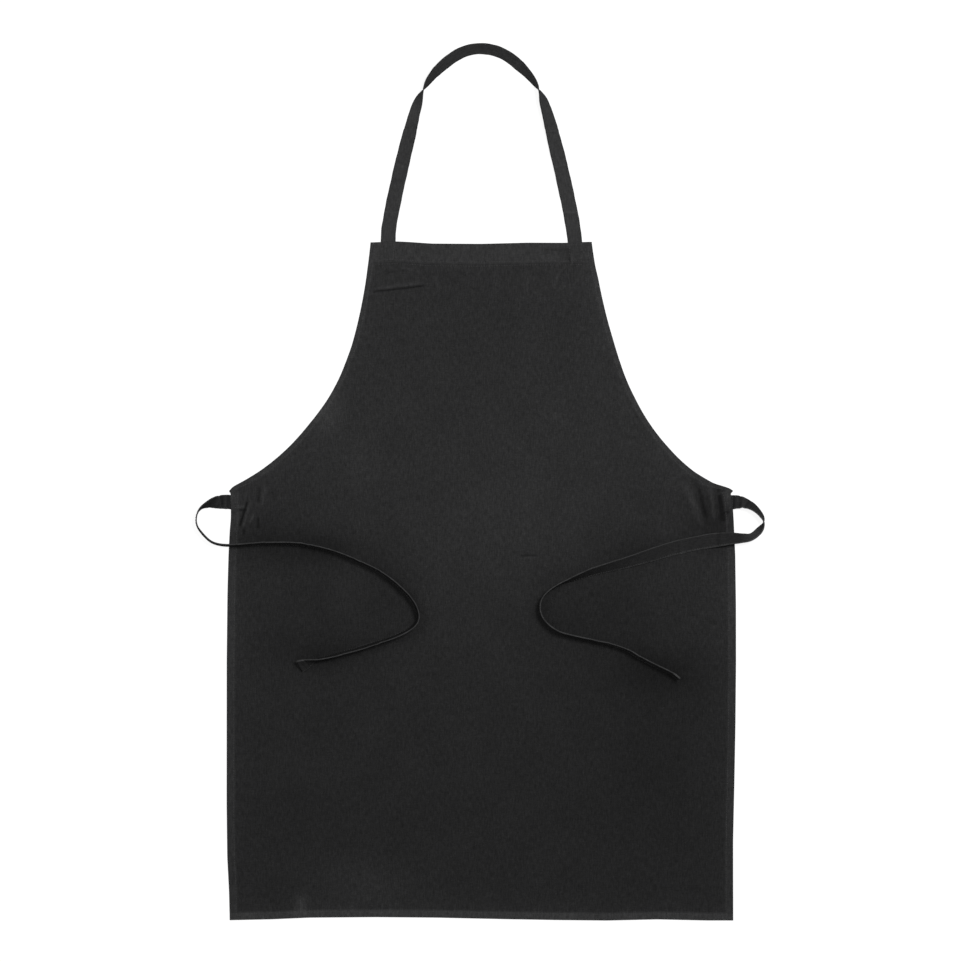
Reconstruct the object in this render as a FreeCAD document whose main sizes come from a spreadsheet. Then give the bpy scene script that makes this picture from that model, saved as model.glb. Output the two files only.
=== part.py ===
"""Bib apron, lying flat and face up, as a parametric FreeCAD document.

The cloth panel is stored as a skirt and a bib that fold on each other at the waist. Double-turned hems lie
under the panel's edges and lockstitch threads lie on top of them. A neck strap and two waist ties, all of one
folded tape, are sewn into the hems by their flat ends.

Frame: +X to the right as the apron is seen, +Y from the bottom hem to the neck, +Z up out of the cloth. The
origin is on the surface that the apron lies on, under the middle of its outline. Millimetres and degrees.
"""

import FreeCAD, Part
import math
import os

import Sketcher
from FreeCAD import Vector

DIMENSIONS = {
    # outline of the cloth
    "apron_length": 900.0,
    "bib_height": 330.8,
    "top_half": 147.4,
    "side_half": 336.0,
    "upper_radius": 648.0,
    "lower_radius": 286.0,
    # cloth and its double-turned hems
    "ply": 0.5,
    "hem_plies": 2.0,
    "side_hem": 12.0,
    "bottom_hem": 12.0,
    "top_hem": 31.0,
    "armhole_hem": 8.0,
    "hem_clearance": 0.2,
    # sewing threads
    "thread_width": 0.6,
    "thread_height": 0.25,
    "seam_margin": 1.5,
    "top_seam": 24.0,
    "top_seam_pitch": 5.0,
    "tack_margin": 1.8,
    # folded tape of the neck strap and the waist ties
    "tape_width": 19.0,
    "tape_thickness": 2.0,
    "tip_length": 12.0,
    "tip_thickness": 4.0,
    "loop_reach": 266.0,
    "neck_spacing": 249.6,
    "neck_sewn": 24.0,
    "tie_sewn": 9.0,
    "tie_drop": 14.9,
    # room for the folds
    "waist_gap": 1.0,
    "tie_gap": 1.2,
}

# Heights of the layers, and the three lines across the apron, as expressions on the spreadsheet.
HEM_TOP = "dims.ply * dims.hem_plies"
CLOTH_TOP = "dims.ply * (dims.hem_plies + 1)"
BOTTOM = "-(dims.apron_length + dims.loop_reach) / 2"
TOP = "(dims.apron_length - dims.loop_reach) / 2"
WAIST = "((dims.apron_length - dims.loop_reach) / 2 - dims.bib_height)"
TIE_LINE = f"({WAIST} - dims.tie_drop)"

# Neck strap, left half from the hem to the crown: across, above the top edge, roll of the tape.
NECK_ROUTE = [
    (-124.6, 1.9, 0),
    (-121.3, 26, 0),
    (-112, 72, 6),
    (-98.5, 130, 22),
    (-84, 187, 62),
    (-71, 212, 108),
    (-50, 238, 136),
    (-24, 256.5, 153),
]
# Waist ties from the hem to the tip: x, y, height of the tape's lower edge, roll of the tape.
LEFT_TIE_ROUTE = [
    (-336, -28.7, 0, 0),
    (-358, -28.7, 0, 12),
    (-378, -40, 0, 78),
    (-382, -62, 0.6, 102),
    (-362, -83, 2.4, 98),
    (-330, -86, 2.4, 99),
    (-290, -83.5, 2.4, 100),
    (-235, -83, 2.4, 104),
    (-190, -95, 2.4, 105),
    (-130, -121, 2.4, 105),
    (-88, -155, 2.4, 105),
    (-78, -186, 2.4, 104),
    (-103, -204, 2.4, 102),
    (-150, -218, 2.4, 102),
    (-195, -233, 2.4, 100),
    (-225, -237, 2.4, 80),
    (-240, -246, 2.4, 30),
]
RIGHT_TIE_ROUTE = [
    (336, -28.7, 0, 0),
    (355, -28.7, 0, -14),
    (371.5, -40.5, 0, -78),
    (375.5, -61, 0.6, -102),
    (361, -76.5, 2.4, -128),
    (336, -77.5, 2.4, -162),
    (300, -79, 2.4, -176),
    (250, -89, 2.4, -182),
    (195, -108, 2.4, -206),
    (150, -121, 2.4, -236),
    (102, -136, 2.4, -254),
    (78, -156, 2.4, -256),
    (77, -179, 2.4, -256),
    (100, -200, 2.4, -256),
    (140, -209, 2.4, -254),
    (196, -222, 2.4, -252),
    (232, -243, 2.4, -250),
    (267, -263, 2.4, -246),
]
TIE_HINGE_RUN = 2  # the tie's two spans part in the middle of this run of its route
ARC_SHARE = 0.45  # share of the shorter run that each arc of a route takes
STATION_STEP = 7.0  # distance between the tape's cross-sections

doc = FreeCAD.newDocument("bib_apron")
sheet = doc.addObject("Spreadsheet::Sheet", "dims")
for row, (alias, number) in enumerate(DIMENSIONS.items(), start=1):
    sheet.set(f"A{row}", alias)
    sheet.set(f"B{row}", str(number))
    sheet.setAlias(f"B{row}", alias)
doc.recompute()

subparts = []


def value(expression):
    """The number that an expression on the spreadsheet has now."""
    return float(sheet.evalExpression(expression))


def finished(item, name):
    """Labels an object as one of the apron's sub-parts."""
    item.Label = name
    subparts.append(item)
    return item


def block(name, corner, size):
    """A box whose corner and size are expressions."""
    box = doc.addObject("Part::Box", name)
    for prop, expression in zip(("Length", "Width", "Height"), size):
        box.setExpression(prop, expression)
    for axis, expression in zip("xyz", corner):
        box.setExpression(f"Placement.Base.{axis}", expression)
    return box


def limit(sketch, name, expression, kind, *where):
    """Adds a named dimension to a sketch and binds it to an expression."""
    index = sketch.addConstraint(Sketcher.Constraint(kind, *where, value(expression)))
    sketch.renameConstraint(index, name)
    sketch.setExpression(f"Constraints.{name}", expression)


def new_sketch(body, name):
    """An empty sketch on the body's own XY plane."""
    plane = next(f for f in body.Origin.OriginFeatures if f.Role == "XY_Plane")
    sketch = body.newObject("Sketcher::SketchObject", name)
    sketch.AttachmentSupport = [(plane, "")]
    sketch.MapMode = "FlatFace"
    return sketch


def padded_body(name, draw, low, height):
    """A body that pads the outline that draw() puts in its sketch, from the height low."""
    body = doc.addObject("PartDesign::Body", name)
    sketch = new_sketch(body, f"{name}_outline")
    draw(sketch)
    pad = body.newObject("PartDesign::Pad", f"{name}_pad")
    pad.Profile = (sketch, [""])
    pad.setExpression("Length", height)
    body.setExpression("Placement.Base.y", WAIST)
    body.setExpression("Placement.Base.z", low)
    return finished(body, name)


# ---- outline of the bib, in a sketch whose X axis is the waist line ----


def armhole_arcs():
    """The right armhole's two arcs, as drawn before the sketch's solver sets them exactly."""
    top_half, side_half = value("dims.top_half"), value("dims.side_half")
    upper, lower = value("dims.upper_radius"), value("dims.lower_radius")
    height = value("dims.bib_height")
    lean = math.radians(5.2)  # first guesses of the arcs' ends, from the straight-up direction
    join = math.radians(20.9)
    upper_centre = Vector(top_half + upper * math.cos(lean), height + upper * math.sin(lean), 0)
    inward = Vector(math.cos(join), math.sin(join), 0)
    lower_centre = upper_centre - inward * (upper - lower)
    corner = math.acos((lower_centre.x - side_half) / lower)
    return (upper_centre, upper, lean, join), (lower_centre, lower, join, corner)


def arc_on(centre, radius, first, last, side):
    """An arc of an armhole: side is 1 for the right one and -1 for its mirror image."""
    circle = Part.Circle(Vector(side * centre.x, centre.y, 0), Vector(0, 0, 1), radius)
    if side > 0:
        return Part.ArcOfCircle(circle, math.pi + first, math.pi + last)
    return Part.ArcOfCircle(circle, -last, -first)


def fix_armhole(sketch, upper, lower):
    """Dimensions of the right armhole: its ends, its radii, and arcs that run on smoothly."""
    sketch.addConstraint(Sketcher.Constraint("Tangent", upper, 2, lower, 1))
    limit(sketch, "top_half", "dims.top_half", "DistanceX", -1, 1, upper, 1)
    limit(sketch, "bib_height", "dims.bib_height", "DistanceY", -1, 1, upper, 1)
    limit(sketch, "side_half", "dims.side_half", "DistanceX", -1, 1, lower, 2)
    sketch.addConstraint(Sketcher.Constraint("PointOnObject", lower, 2, -1))
    limit(sketch, "upper_radius", "dims.upper_radius", "Radius", upper)
    limit(sketch, "lower_radius", "dims.lower_radius", "Radius", lower)


def draw_bib(sketch):
    """The bib: waist line, two armholes and the top edge."""
    upper, lower = armhole_arcs()
    right_upper = sketch.addGeometry(arc_on(*upper, 1), False)
    right_lower = sketch.addGeometry(arc_on(*lower, 1), False)
    left_upper = sketch.addGeometry(arc_on(*upper, -1), False)
    left_lower = sketch.addGeometry(arc_on(*lower, -1), False)
    half, height = value("dims.top_half"), value("dims.bib_height")
    side = value("dims.side_half")
    top = sketch.addGeometry(Part.LineSegment(Vector(half, height, 0), Vector(-half, height, 0)), False)
    waist = sketch.addGeometry(Part.LineSegment(Vector(-side, 0, 0), Vector(side, 0, 0)), False)
    fix_armhole(sketch, right_upper, right_lower)
    for one, one_end, other, other_end in (
        (right_upper, 1, left_upper, 2),
        (right_upper, 2, left_upper, 1),
        (right_lower, 2, left_lower, 1),
    ):
        sketch.addConstraint(Sketcher.Constraint("Symmetric", one, one_end, other, other_end, -2))
    sketch.addConstraint(Sketcher.Constraint("Coincident", left_lower, 2, left_upper, 1))
    sketch.addConstraint(Sketcher.Constraint("Equal", right_upper, left_upper))
    sketch.addConstraint(Sketcher.Constraint("Equal", right_lower, left_lower))
    for one, one_end, other, other_end in (
        (top, 1, right_upper, 1),
        (top, 2, left_upper, 2),
        (waist, 1, left_lower, 1),
        (waist, 2, right_lower, 2),
    ):
        sketch.addConstraint(Sketcher.Constraint("Coincident", one, one_end, other, other_end))


def draw_armhole_strip(sketch, near, far):
    """A strip along the right armhole, between two distances in from the edge of the cloth."""
    upper, lower = armhole_arcs()
    edge_upper = sketch.addGeometry(arc_on(*upper, 1), True)
    edge_lower = sketch.addGeometry(arc_on(*lower, 1), True)
    fix_armhole(sketch, edge_upper, edge_lower)
    centre, radius, _, join = upper
    join_point = centre - Vector(math.cos(join), math.sin(join), 0) * radius
    spoke = sketch.addGeometry(Part.LineSegment(centre, join_point), True)
    sketch.addConstraint(Sketcher.Constraint("Coincident", spoke, 1, edge_upper, 3))
    sketch.addConstraint(Sketcher.Constraint("Coincident", spoke, 2, edge_upper, 2))
    sides = []
    for label, inset in (("near", near), ("far", far)):
        grown = [(c, r + value(inset), first, last) for c, r, first, last in (upper, lower)]
        upper_arc = sketch.addGeometry(arc_on(*grown[0], 1), False)
        lower_arc = sketch.addGeometry(arc_on(*grown[1], 1), False)
        sketch.addConstraint(Sketcher.Constraint("Coincident", upper_arc, 3, edge_upper, 3))
        sketch.addConstraint(Sketcher.Constraint("Coincident", lower_arc, 3, edge_lower, 3))
        limit(sketch, f"{label}_radius", f"dims.upper_radius + {inset}", "Radius", upper_arc)
        sketch.addConstraint(Sketcher.Constraint("PointOnObject", upper_arc, 2, spoke))
        sketch.addConstraint(Sketcher.Constraint("Coincident", upper_arc, 2, lower_arc, 1))
        limit(sketch, f"{label}_top", "dims.bib_height", "DistanceY", -1, 1, upper_arc, 1)
        sketch.addConstraint(Sketcher.Constraint("PointOnObject", lower_arc, 2, -1))
        sides.append((upper_arc, lower_arc))
    (near_upper, near_lower), (far_upper, far_lower) = sides
    for one, one_end, other, other_end in ((near_upper, 1, far_upper, 1), (near_lower, 2, far_lower, 2)):
        start, end = sketch.getPoint(one, one_end), sketch.getPoint(other, other_end)
        line = sketch.addGeometry(Part.LineSegment(start, end), False)
        sketch.addConstraint(Sketcher.Constraint("Coincident", line, 1, one, one_end))
        sketch.addConstraint(Sketcher.Constraint("Coincident", line, 2, other, other_end))


def armhole_strips(kind, near, far, low, height):
    """The strip along the right armhole, and its mirror image along the left one."""
    right = padded_body(f"right_{kind}", lambda s: draw_armhole_strip(s, near, far), low, height)
    mirror = doc.addObject("Part::Mirroring", f"left_{kind}")
    mirror.Source = right
    mirror.Base = Vector(0, 0, 0)
    mirror.Normal = Vector(1, 0, 0)
    finished(mirror, f"left_{kind}")


# ---- cloth, hems and threads ----


def panels():
    """The cloth: a plain rectangle below the waist line, and the bib above it."""
    finished(
        block(
            "skirt_panel",
            ("-dims.side_half", BOTTOM, HEM_TOP),
            ("2 * dims.side_half", f"{WAIST} - dims.waist_gap - ({BOTTOM})", "dims.ply"),
        ),
        "skirt_panel",
    )
    padded_body("bib_panel", draw_bib, HEM_TOP, "dims.ply")


def notched_hem(name, corner, size, notch_corner, notch_size):
    """A hem strip with a notch that takes the pressed end of a tape."""
    cut = doc.addObject("Part::Cut", name)
    cut.Base = block(f"{name}_strip", corner, size)
    cut.Tool = block(f"{name}_notch", notch_corner, notch_size)
    return finished(cut, name)


def skirt_hems():
    """Hems down both sides and along the bottom, with the seams that hold them."""
    length = f"{WAIST} - dims.waist_gap - ({BOTTOM})"
    notch_size = ("dims.tie_sewn", "dims.tape_width", HEM_TOP)
    notch_low = f"{TIE_LINE} - dims.tape_width / 2"
    for side, hem_x, notch_x, seam_x in (
        (
            "left",
            "-dims.side_half",
            "-dims.side_half",
            "-dims.side_half + dims.side_hem - dims.seam_margin",
        ),
        (
            "right",
            "dims.side_half - dims.side_hem",
            "dims.side_half - dims.tie_sewn",
            "dims.side_half - dims.side_hem + dims.seam_margin - dims.thread_width",
        ),
    ):
        notched_hem(
            f"{side}_side_hem",
            (hem_x, BOTTOM, "0"),
            ("dims.side_hem", length, HEM_TOP),
            (notch_x, notch_low, "0"),
            notch_size,
        )
        finished(
            block(
                f"{side}_side_thread",
                (seam_x, f"{BOTTOM} + dims.bottom_hem", CLOTH_TOP),
                ("dims.thread_width", f"{length} - dims.bottom_hem - dims.seam_margin", "dims.thread_height"),
            ),
            f"{side}_side_thread",
        )
    finished(
        block(
            "bottom_hem",
            ("-dims.side_half + dims.side_hem", BOTTOM, "0"),
            ("2 * (dims.side_half - dims.side_hem)", "dims.bottom_hem", HEM_TOP),
        ),
        "bottom_hem",
    )
    finished(
        block(
            "bottom_thread",
            (
                "-dims.side_half + dims.seam_margin",
                f"{BOTTOM} + dims.bottom_hem - dims.seam_margin - dims.thread_width",
                CLOTH_TOP,
            ),
            ("2 * (dims.side_half - dims.seam_margin)", "dims.thread_width", "dims.thread_height"),
        ),
        "bottom_thread",
    )


def top_hem():
    """The deep hem at the top of the bib, its two rows of thread and the notches for the neck strap."""
    notches = doc.addObject("Part::MultiFuse", "top_hem_notches")
    notches.Shapes = [
        block(
            f"top_hem_{side}_notch",
            (f"{centre} - dims.tape_width / 2", f"{TOP} - dims.neck_sewn", "0"),
            ("dims.tape_width", "dims.neck_sewn", HEM_TOP),
        )
        for side, centre in (("left", "-dims.neck_spacing / 2"), ("right", "dims.neck_spacing / 2"))
    ]
    half = "(dims.top_half - dims.armhole_hem - dims.hem_clearance)"
    hem = doc.addObject("Part::Cut", "top_hem")
    hem.Base = block(
        "top_hem_strip",
        (f"-{half}", f"{TOP} - dims.top_hem", "0"),
        (f"2 * {half}", "dims.top_hem", HEM_TOP),
    )
    hem.Tool = notches
    finished(hem, "top_hem")
    for name, drop in (
        ("top_hem_upper_thread", "dims.top_seam"),
        ("top_hem_lower_thread", "(dims.top_seam + dims.top_seam_pitch)"),
    ):
        row = block(
            name,
            (f"-{half}", f"{TOP} - {drop} - dims.thread_width", CLOTH_TOP),
            (f"2 * {half}", "dims.thread_width", "dims.thread_height"),
        )
        finished(row, name)


def sewn_end(name, corner, size):
    """The pressed end of a tape in its notch, and the box of thread that tacks it through the cloth."""
    finished(block(f"{name}_sewn_end", (*corner, "0"), (*size, HEM_TOP)), f"{name}_sewn_end")
    tack = doc.addObject("Part::Cut", f"{name}_tack")
    for role, margin in (("Base", "dims.tack_margin"), ("Tool", "(dims.tack_margin + dims.thread_width)")):
        ring = block(
            f"{name}_tack_{role.lower()}",
            (f"{corner[0]} + {margin}", f"{corner[1]} + {margin}", CLOTH_TOP),
            (f"{size[0]} - 2 * {margin}", f"{size[1]} - 2 * {margin}", "dims.thread_height"),
        )
        setattr(tack, role, ring)
    finished(tack, f"{name}_tack")


def sewn_ends():
    """Both ends of the neck strap, in the top hem, and the root of each waist tie, in a side hem."""
    for side, centre in (("left", "-dims.neck_spacing / 2"), ("right", "dims.neck_spacing / 2")):
        sewn_end(
            f"neck_strap_{side}",
            (f"{centre} - dims.tape_width / 2", f"{TOP} - dims.neck_sewn"),
            ("dims.tape_width", "dims.neck_sewn"),
        )
    for side, corner_x in (("left", "-dims.side_half"), ("right", "dims.side_half - dims.tie_sewn")):
        sewn_end(
            f"{side}_tie",
            (corner_x, f"{TIE_LINE} - dims.tape_width / 2"),
            ("dims.tie_sewn", "dims.tape_width"),
        )


# ---- tapes that lie free ----


def smooth(share):
    """Eases a share of a run from 0 to 1."""
    return share * share * (3 - 2 * share)


def plan_path(points, name):
    """Straight runs joined by tangent arcs through plan points, as a wire, with each point's distance."""
    runs = [(b - a).Length for a, b in zip(points, points[1:])]
    edges, marks, travelled = [], [0.0], 0.0
    last, radii = points[0], []
    for index in range(1, len(points) - 1):
        before = (points[index] - points[index - 1]).normalize()
        after = (points[index + 1] - points[index]).normalize()
        half_turn = before.getAngle(after) / 2
        trim = ARC_SHARE * min(runs[index - 1], runs[index])
        radii.append(trim / math.tan(half_turn))
        start, end = points[index] - before * trim, points[index] + after * trim
        sag = radii[-1] * (1 / math.cos(half_turn) - 1)
        middle = points[index] + (after - before).normalize() * sag
        straight = Part.LineSegment(last, start).toShape()
        bend = Part.Arc(start, middle, end).toShape()
        edges += [straight, bend]
        marks.append(travelled + straight.Length + bend.Length / 2)
        travelled += straight.Length + bend.Length
        last = end
    edges.append(Part.LineSegment(last, points[-1]).toShape())
    marks.append(travelled + edges[-1].Length)
    print(f"{name}: {marks[-1]:.0f} mm, bend radii", " ".join(f"{radius:.0f}" for radius in radii))
    return edges, marks


def point_and_direction(edges, distance):
    """Position and direction at a distance along a chain of edges."""
    for edge in edges[:-1]:
        if distance <= edge.Length:
            break
        distance -= edge.Length
    else:
        edge = edges[-1]
    where = edge.getParameterByLength(min(max(distance, 0.0), edge.Length))
    return edge.valueAt(where), edge.tangentAt(where).normalize()


def section(route, path, distance, thickness):
    """The tape's cross-section, rolled and lifted as its route says, at a distance along its path."""
    edges, marks = path
    index = max(i for i in range(len(marks) - 1) if marks[i] <= distance or i == 0)
    share = smooth(min(1.0, (distance - marks[index]) / (marks[index + 1] - marks[index])))
    low, roll = (route[index][k] + share * (route[index + 1][k] - route[index][k]) for k in (2, 3))
    roll = math.radians(roll)
    width = value("dims.tape_width")
    centre, along = point_and_direction(edges, distance)
    up = Vector(0, 0, 1)
    across = up.cross(along)
    centre.z = low + (width * abs(math.sin(roll)) + thickness * abs(math.cos(roll))) / 2
    wide = (across * math.cos(roll) + up * math.sin(roll)) * (width / 2)
    thick = (up * math.cos(roll) - across * math.sin(roll)) * (thickness / 2)
    corners = [centre + wide + thick, centre - wide + thick, centre - wide - thick, centre + wide - thick]
    return Part.makePolygon(corners + corners[:1])


def tape(name, route, path, first, last, thickness):
    """A span of tape, as thick as the named dimension, between two distances along its path."""
    thickness = value(thickness)
    count = max(2, round((last - first) / STATION_STEP))
    stations = [first + (last - first) * i / count for i in range(count + 1)]
    item = doc.addObject("Part::Feature", name)
    item.Shape = Part.makeLoft([section(route, path, d, thickness) for d in stations], True, True)
    item.Placement = FreeCAD.Placement()
    full = value("dims.tape_width") * thickness * (last - first)
    print(f"{name}: {item.Shape.Volume / full:.3f} of section times length")
    return finished(item, name)


def neck_strap():
    """The strap over the neck, from hem to hem round the crown, a little clear of the hem for its fold."""
    top = value(TOP)
    half = [(x, rise, 0.0, roll) for x, rise, roll in NECK_ROUTE]
    route = half + [(-x, rise, low, roll) for x, rise, low, roll in reversed(half)]
    path = plan_path([Vector(x, top + rise, 0) for x, rise, _, _ in route], "neck strap")
    tape("neck_strap", route, path, 0.0, path[1][-1], "dims.tape_thickness")


def waist_tie(side, route):
    """A waist tie: the loop that stays with the skirt, the tail that swings on it, and the turned tip."""
    path = plan_path([Vector(x, y, 0) for x, y, _, _ in route], f"{side} waist tie")
    marks = path[1]
    hinge = (marks[TIE_HINGE_RUN] + marks[TIE_HINGE_RUN + 1]) / 2
    gap, tip = value("dims.tie_gap"), marks[-1] - value("dims.tip_length")
    tape(f"{side}_tie_loop", route, path, 0.0, hinge - gap / 2, "dims.tape_thickness")
    tape(f"{side}_tie_tail", route, path, hinge + gap / 2, tip, "dims.tape_thickness")
    tape(f"{side}_tie_tip", route, path, tip, marks[-1], "dims.tip_thickness")
    pivot = point_and_direction(path[0], hinge)[0]
    print(f"{side} tie hinge at {pivot.x:.2f}, {pivot.y:.2f}")


panels()
skirt_hems()
armhole_strips("armhole_hem", "0", "dims.armhole_hem", "0", HEM_TOP)
armhole_strips(
    "armhole_thread",
    "dims.armhole_hem - dims.seam_margin - dims.thread_width",
    "dims.armhole_hem - dims.seam_margin",
    CLOTH_TOP,
    "dims.thread_height",
)
top_hem()
sewn_ends()
neck_strap()
for side, route in (("left", LEFT_TIE_ROUTE), ("right", RIGHT_TIE_ROUTE)):
    waist_tie(side, route)

doc.recompute()
for item in doc.Objects:
    if "Invalid" in item.State or "Error" in item.State:
        raise RuntimeError(f"{item.Name} failed: {item.State}")
for item in subparts:
    if item.Shape.isNull() or not item.Shape.isValid():
        raise RuntimeError(f"{item.Label} has no valid shape")
os.makedirs("parts", exist_ok=True)
for item in subparts:
    item.Shape.exportStep(f"parts/{item.Label}.step")
print(f"{len(subparts)} sub-parts")
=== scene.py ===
"""Looks of the bib apron: creased cloth, turned hems and stitches, twisted neck strap and tape ties."""

import bpy
import numpy as np
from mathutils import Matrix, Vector


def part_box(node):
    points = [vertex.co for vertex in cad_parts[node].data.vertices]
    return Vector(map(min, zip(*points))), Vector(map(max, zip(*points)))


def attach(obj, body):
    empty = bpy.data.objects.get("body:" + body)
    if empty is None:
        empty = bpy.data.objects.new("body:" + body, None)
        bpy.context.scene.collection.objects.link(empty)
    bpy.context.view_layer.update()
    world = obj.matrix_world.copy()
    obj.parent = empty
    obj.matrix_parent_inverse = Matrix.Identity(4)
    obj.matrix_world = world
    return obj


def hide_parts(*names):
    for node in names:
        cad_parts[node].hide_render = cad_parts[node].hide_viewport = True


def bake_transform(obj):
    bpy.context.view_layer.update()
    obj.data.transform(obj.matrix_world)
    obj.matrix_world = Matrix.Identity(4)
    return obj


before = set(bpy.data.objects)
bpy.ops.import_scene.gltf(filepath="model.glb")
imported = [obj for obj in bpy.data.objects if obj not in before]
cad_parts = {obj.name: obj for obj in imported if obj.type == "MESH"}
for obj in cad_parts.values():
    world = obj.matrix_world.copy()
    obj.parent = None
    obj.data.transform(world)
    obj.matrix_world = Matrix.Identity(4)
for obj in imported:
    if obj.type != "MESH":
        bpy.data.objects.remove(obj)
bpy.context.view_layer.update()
rng = np.random.default_rng(11)

MM = 0.001  # shapes below are worked out in millimetres
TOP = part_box("bib_panel")[1].y / MM
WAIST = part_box("bib_panel")[0].y / MM
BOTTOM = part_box("skirt_panel")[0].y / MM
SIDE_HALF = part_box("skirt_panel")[1].x / MM
# Armhole arcs on the right: centre x, centre y, radius; the upper one ends where the lower one starts.
UPPER_ARC = (792.7, 375.7, 648.0)
LOWER_ARC = (454.6, 246.4, 286.0)
ARC_JOIN = 144.3

SIDE_HEM, BOTTOM_HEM, TOP_HEM, ARMHOLE_HEM = 11.0, 10.0, 27.0, 7.5
SEAM_IN = 1.6  # a seam runs this far outside the inner edge of its hem
REST_TOP, HEM_RISE = 1.0, 0.7  # top of the single cloth, and how much its hems lift it
CLOTH = 0.5  # thickness
LOWEST_FACE = 0.72  # the cloth's face never sinks below this
CLEAR = 0.03  # gap kept above the surface that the apron lies on, and between plies
STRAP_X, TIE_Y = 124.8, -28.7  # middle lines of the tapes' sewn ends
TAPE, TAPE_THICK = 19.0, 1.2  # width and thickness of the folded tape

# How far the laid edges stand out from the drafted outline: height on the apron, millimetres outwards.
LEFT_WAVER = [
    (-583, -0.9), (-545, 0.0), (-500, 2.4), (-430, 3.2), (-240, 3.1), (-150, 2.1), (-99, 0.7),
    (-67, -0.9), (-50, -2.4), (-36, -2.4), (-20, -1.8), (-15.5, -2.6), (-12.5, 0.6), (-11, 5.8),
    (-8, 7.9), (-4, 7.4), (2, 7.0), (14, 5.9), (44, 5.0), (76, 4.2), (108, 0.8),
    (140, -1.2), (180, -2.2), (236, -0.7), (284, 0.4), (317, 0.4),
]
RIGHT_WAVER = [
    (-583, -1.0), (-480, -1.2), (-403, 0.5), (-323, 2.0), (-243, 2.7), (-163, 2.6), (-99, 1.7),
    (-51, -0.5), (-28, -2.0), (-17, -5.0), (-14.5, -4.2), (-12.5, 0.8), (-11, 5.8), (-9.5, 6.4),
    (-7.5, 0.0), (-5, -6.6), (0, -6.2), (12, -7.4), (29, -5.4), (45, -3.3), (76, -1.0),
    (108, 1.0), (140, 1.6), (188, 2.7), (236, 2.3), (268, 1.8), (284, 0.4), (317, -0.7),
]
BOTTOM_WAVER = [
    (-336, -1.8), (-280, -0.6), (-230, 1.6), (-140, 2.3), (-60, 1.6),
    (34, -0.5), (100, -1.6), (167, -2.2), (234, -0.7), (300, -2.2),
]
TOP_WAVER = [
    (-150, 0.2), (-114, 1.6), (-98, 0.9), (-66, -1.3),
    (0, -1.7), (62, -0.1), (110, -0.3), (142, 1.0),
]


# ---- the laid cloth: outline, heights, and wear with painted light and shade, all in millimetres ----


def ease(x):
    """0 below 0, 1 above 1, smooth between."""
    x = np.clip(x, 0.0, 1.0)
    return x * x * (3 - 2 * x)


def along_table(table, at):
    """A smooth value between a table's (place, value) pairs."""
    places, values = np.array(table, float).T
    spread = np.linspace(-3.5, 3.5, 7)
    return sum(np.interp(at + s, places, values) for s in spread) / len(spread)


def half_width(y, side):
    """From the middle to the cloth's edge at height y; side is -1 for left and 1 for right."""
    y = np.asarray(y, float)
    upper, lower = (
        cx - np.sqrt(np.maximum(r * r - (y - cy) ** 2, 0.0)) for cx, cy, r in (UPPER_ARC, LOWER_ARC)
    )
    drafted = np.where(y > ARC_JOIN, upper, np.where(y > WAIST, lower, SIDE_HALF))
    return drafted + along_table(LEFT_WAVER if side < 0 else RIGHT_WAVER, y)


def edge_lean(y, side):
    """Cosine of the edge's lean at height y: turns a distance across into one from the edge."""
    slope = (half_width(y + 2.0, side) - half_width(y - 2.0, side)) / 4.0
    return 1.0 / np.sqrt(1.0 + slope**2)


def band(distance, width, soft=1.2):
    """1 within a hem of that width, and 0 on the cloth beyond its inner edge."""
    return ease((width - distance) / soft + 0.5)


def line_shape(x, y, start, end):
    """Distance off a segment, below 0 on its right, and share along it from 0 to 1."""
    (x0, y0), (x1, y1) = start, end
    long = np.hypot(x1 - x0, y1 - y0)
    ux, uy = (x1 - x0) / long, (y1 - y0) / long
    share = ((x - x0) * ux + (y - y0) * uy) / long
    return (x - x0) * -uy + (y - y0) * ux, share


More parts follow.
